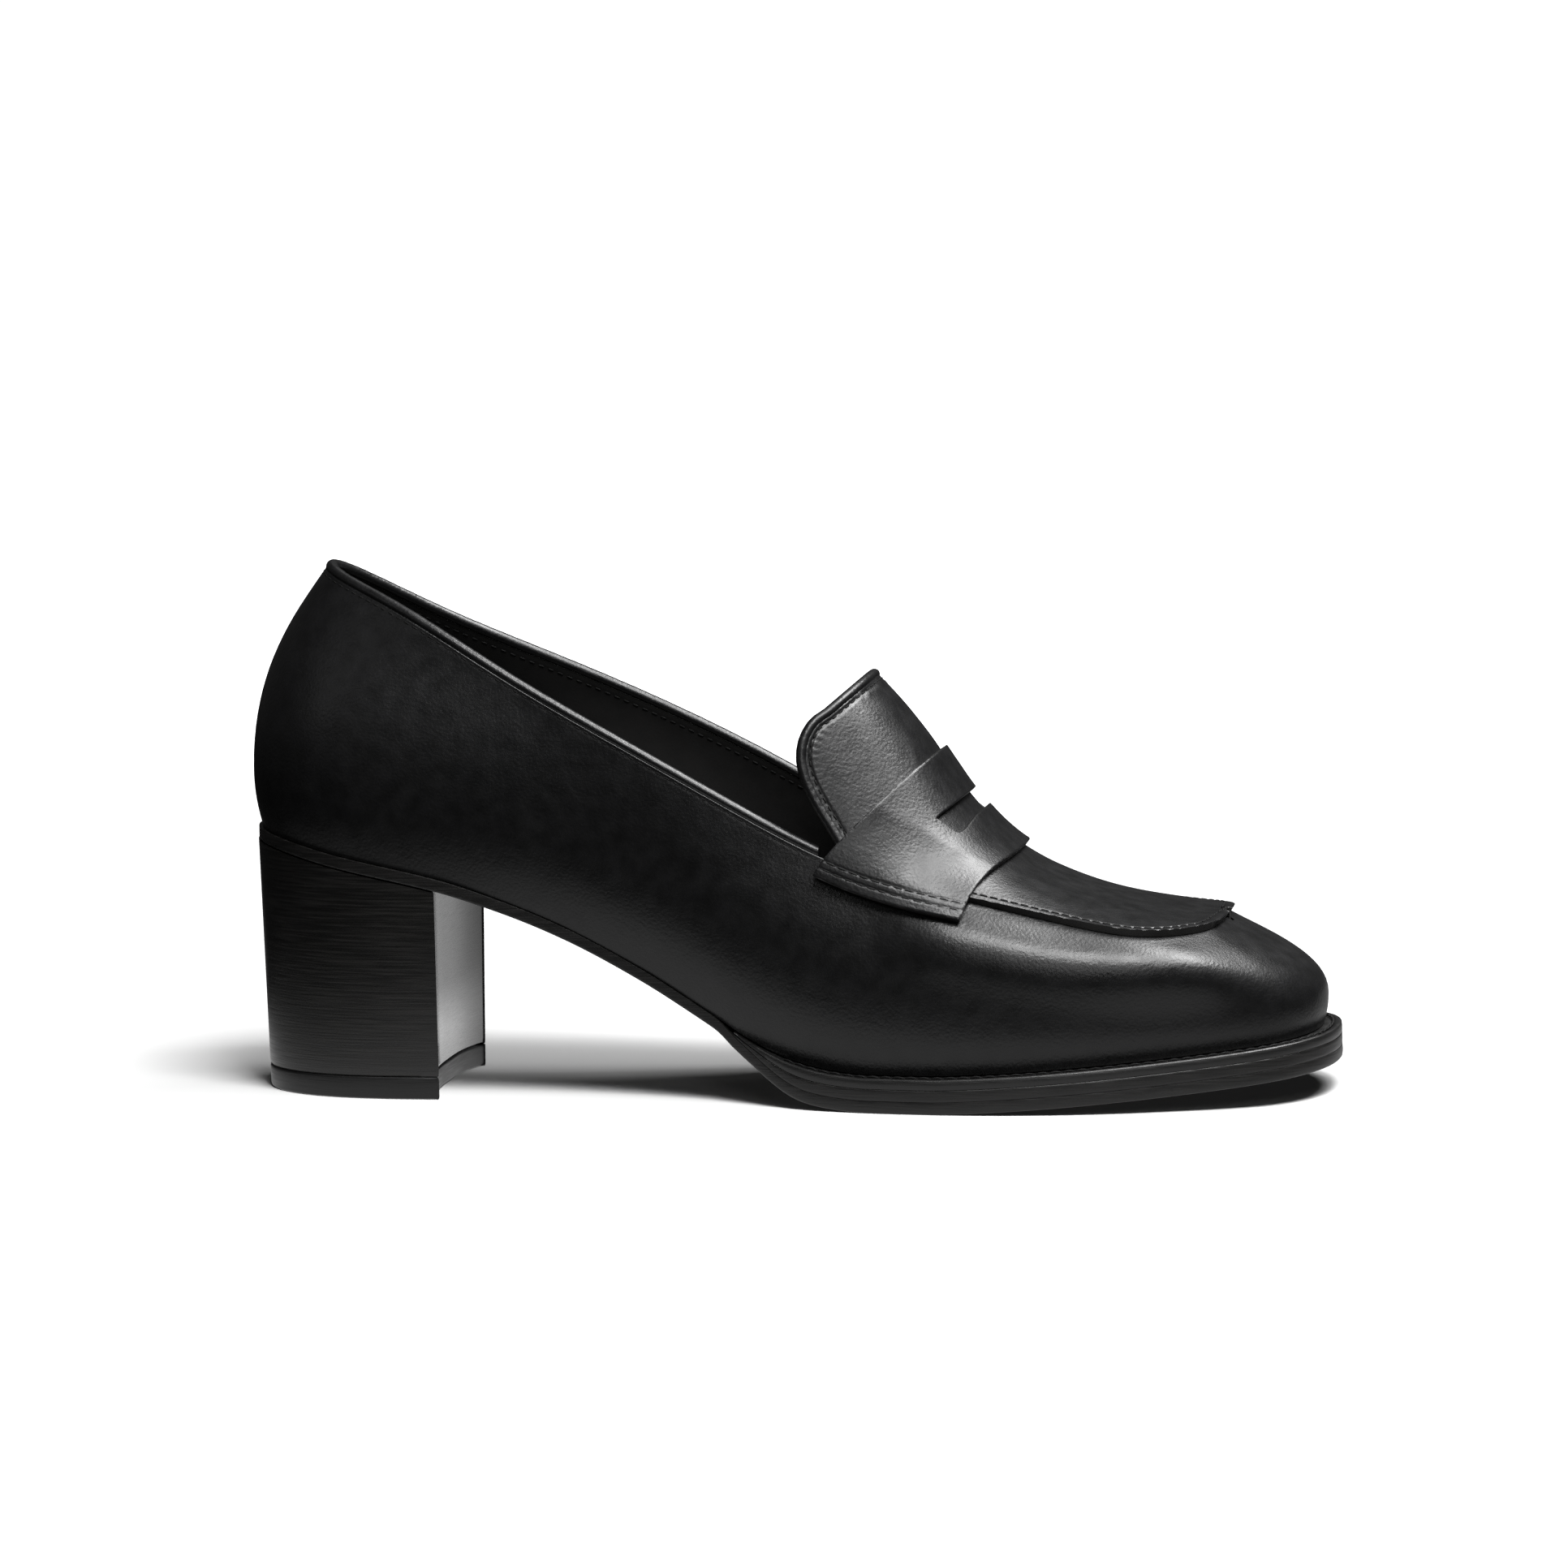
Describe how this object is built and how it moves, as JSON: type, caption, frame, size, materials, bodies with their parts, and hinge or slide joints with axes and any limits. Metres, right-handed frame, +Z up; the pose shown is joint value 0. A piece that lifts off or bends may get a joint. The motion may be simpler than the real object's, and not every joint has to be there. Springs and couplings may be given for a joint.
{
  "type": "loafer pump",
  "caption": "Women's loafer pump, right shoe: low-cut upper with a saddle strap and tongue, moccasin apron, welted sole and block heel.",
  "frame": {"origin": "middle of the bounding box's underside, on the floor that the shoe stands on", "axes": "+X from heel to toe, +Y to the inner side of the foot, +Z up"},
  "size_m": [0.2428, 0.084, 0.1188],
  "materials": {
    "calf": "black calf, fine grain, semi-gloss",
    "sock": "black lining leather, matt",
    "sole_edge": "black inked and waxed leather edge",
    "heel_stack": "black waxed stacked leather",
    "top_piece": "black rubber top piece, matt"
  },
  "bodies": {
    "root": {"upper": "calf", "apron_tongue": "calf", "saddle_strap": "calf", "collar_binding": "calf", "tongue_binding": "calf", "insole": "sock", "welt": "sole_edge", "midsole": "sole_edge", "outsole": "sole_edge", "heel_block": "heel_stack", "heel_lift": "top_piece"}
  },
  "joints": []
}
